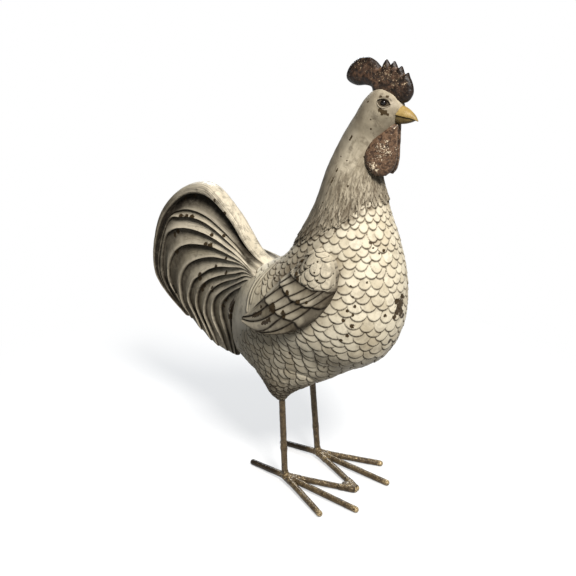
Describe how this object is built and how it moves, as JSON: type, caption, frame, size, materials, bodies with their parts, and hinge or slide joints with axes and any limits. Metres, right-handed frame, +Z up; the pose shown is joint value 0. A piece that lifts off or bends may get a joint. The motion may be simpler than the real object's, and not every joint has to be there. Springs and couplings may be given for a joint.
{
  "type": "rooster sculpture",
  "caption": "Standing rooster sculpture with a distressed cream feather-relief body, fanned tail, brown comb and wattles, on iron-rod legs with splayed toes.",
  "frame": {"origin": "on the ground, under the middle of the bounding box", "axes": "+Z up, +X towards the beak, +Y towards the bird's left wing"},
  "size_m": [0.3926, 0.1542, 0.5212],
  "materials": {
    "cream_paint": "distressed cream paint over a dark brown antique wash on a cast shell, matte, chipped on the high spots",
    "comb_paint": "dark red-brown paint with tan wear speckles on a cast piece, satin",
    "beak_paint": "yellow ochre paint with a brown wash on a cast piece, satin",
    "eye_bead": "opaque near-black glossy bead",
    "iron_rod": "iron rod with a brown-bronze patina, worn bright at the toe tips",
    "sleeve_steel": "plain steel tube, hidden inside the thighs"
  },
  "bodies": {
    "root": {"body_shell_left": "cream_paint", "body_shell_right": "cream_paint", "wing_left": "cream_paint", "wing_right": "cream_paint", "neck_and_head": "cream_paint", "tail_fan": "cream_paint", "comb": "comb_paint", "wattle_left": "comb_paint", "wattle_right": "comb_paint", "beak_upper": "beak_paint", "beak_lower": "beak_paint", "eye_left": "eye_bead", "eye_right": "eye_bead", "leg_sleeve_left": "sleeve_steel", "leg_sleeve_right": "sleeve_steel", "leg_rod_left": "iron_rod", "leg_rod_right": "iron_rod", "ankle_weld_left": "iron_rod", "ankle_weld_right": "iron_rod", "toe_tip_weld": "iron_rod", "left_toe_middle": "iron_rod", "left_toe_inner": "iron_rod", "left_toe_outer": "iron_rod", "left_toe_rear": "iron_rod", "right_toe_middle": "iron_rod", "right_toe_inner": "iron_rod", "right_toe_outer": "iron_rod", "right_toe_rear": "iron_rod"}
  },
  "joints": []
}
